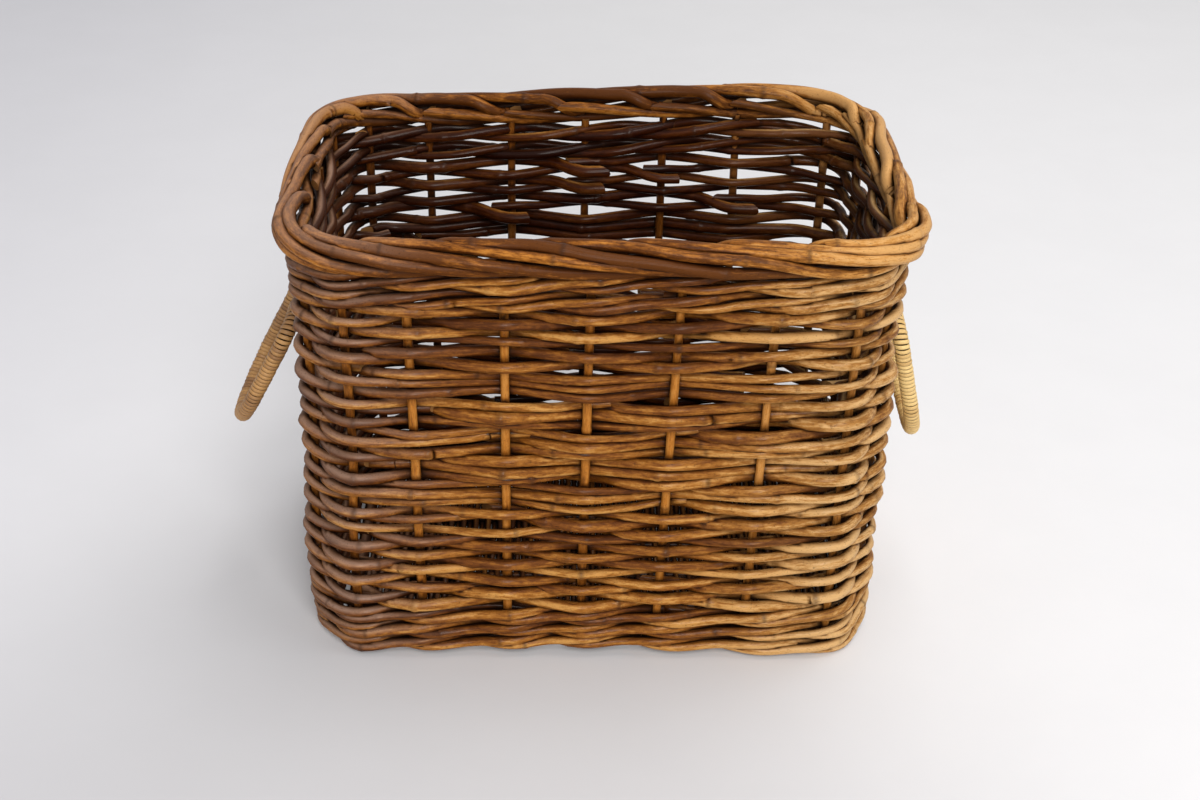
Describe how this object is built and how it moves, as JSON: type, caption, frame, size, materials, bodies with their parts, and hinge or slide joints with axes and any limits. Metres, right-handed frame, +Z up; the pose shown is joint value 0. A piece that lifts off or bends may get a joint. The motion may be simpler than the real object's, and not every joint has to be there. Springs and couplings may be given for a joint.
{
  "type": "wicker basket",
  "caption": "Open rectangular wicker log basket with rounded corners, a rolled rope border and a drop handle bound with cane on each short side.",
  "frame": {"origin": "middle of the basket's underside, on the surface it stands on", "axes": "+X towards the right short side, +Y towards the back long side, +Z up"},
  "size_m": [0.5433, 0.293, 0.357],
  "materials": {
    "weaver_rods": "peeled willow, satin, aged brown",
    "stake_rods": "peeled willow, satin, honey brown",
    "base_rods": "peeled willow, matt, dusty brown",
    "handle_rod": "bent willow rod, satin",
    "cane": "split cane strip, satin straw yellow"
  },
  "bodies": {
    "basket": {"base_floor": "base_rods", "base_hoop": "base_rods", "base_stick_01": "base_rods", "base_stick_02": "base_rods", "base_stick_03": "base_rods", "base_stick_04": "base_rods", "base_stick_05": "base_rods", "border": "stake_rods", "left_lashing_back": "cane", "left_lashing_front": "cane", "lower_wale_01": "weaver_rods", "lower_wale_02": "weaver_rods", "lower_wale_03": "weaver_rods", "lower_weave_01": "weaver_rods", "lower_weave_02": "weaver_rods", "lower_weave_03": "weaver_rods", "lower_weave_04": "weaver_rods", "lower_weave_05": "weaver_rods", "lower_weave_06": "weaver_rods", "middle_band_01": "weaver_rods", "middle_band_02": "weaver_rods", "middle_band_03": "weaver_rods", "middle_band_04": "weaver_rods", "middle_band_05": "weaver_rods", "right_lashing_back": "cane", "right_lashing_front": "cane", "stake_01": "stake_rods", "stake_02": "stake_rods", "stake_03": "stake_rods", "stake_04": "stake_rods", "stake_05": "stake_rods", "stake_06": "stake_rods", "stake_07": "stake_rods", "stake_08": "stake_rods", "stake_09": "stake_rods", "stake_10": "stake_rods", "stake_11": "stake_rods", "stake_12": "stake_rods", "stake_13": "stake_rods", "stake_14": "stake_rods", "stake_15": "stake_rods", "stake_16": "stake_rods", "stake_17": "stake_rods", "stake_18": "stake_rods", "stake_19": "stake_rods", "stake_20": "stake_rods", "stake_21": "stake_rods", "stake_22": "stake_rods", "upper_wale_01": "weaver_rods", "upper_wale_02": "weaver_rods", "upper_weave_01": "weaver_rods", "upper_weave_02": "weaver_rods", "upper_weave_03": "weaver_rods"},
    "left_handle": {"left_handle_hoop": "handle_rod", "left_handle_binding": "cane"},
    "right_handle": {"right_handle_hoop": "handle_rod", "right_handle_binding": "cane"}
  },
  "joints": [
    {"name": "left_handle_hinge", "type": "hinge", "parent": "basket", "child": "left_handle", "pos_m": [-0.2273, 0, 0.24325], "axis": [0, 1, 0], "range_deg": [-28, 147]},
    {"name": "right_handle_hinge", "type": "hinge", "parent": "basket", "child": "right_handle", "pos_m": [0.2273, 0, 0.24325], "axis": [0, -1, 0], "range_deg": [-13, 162]}
  ]
}
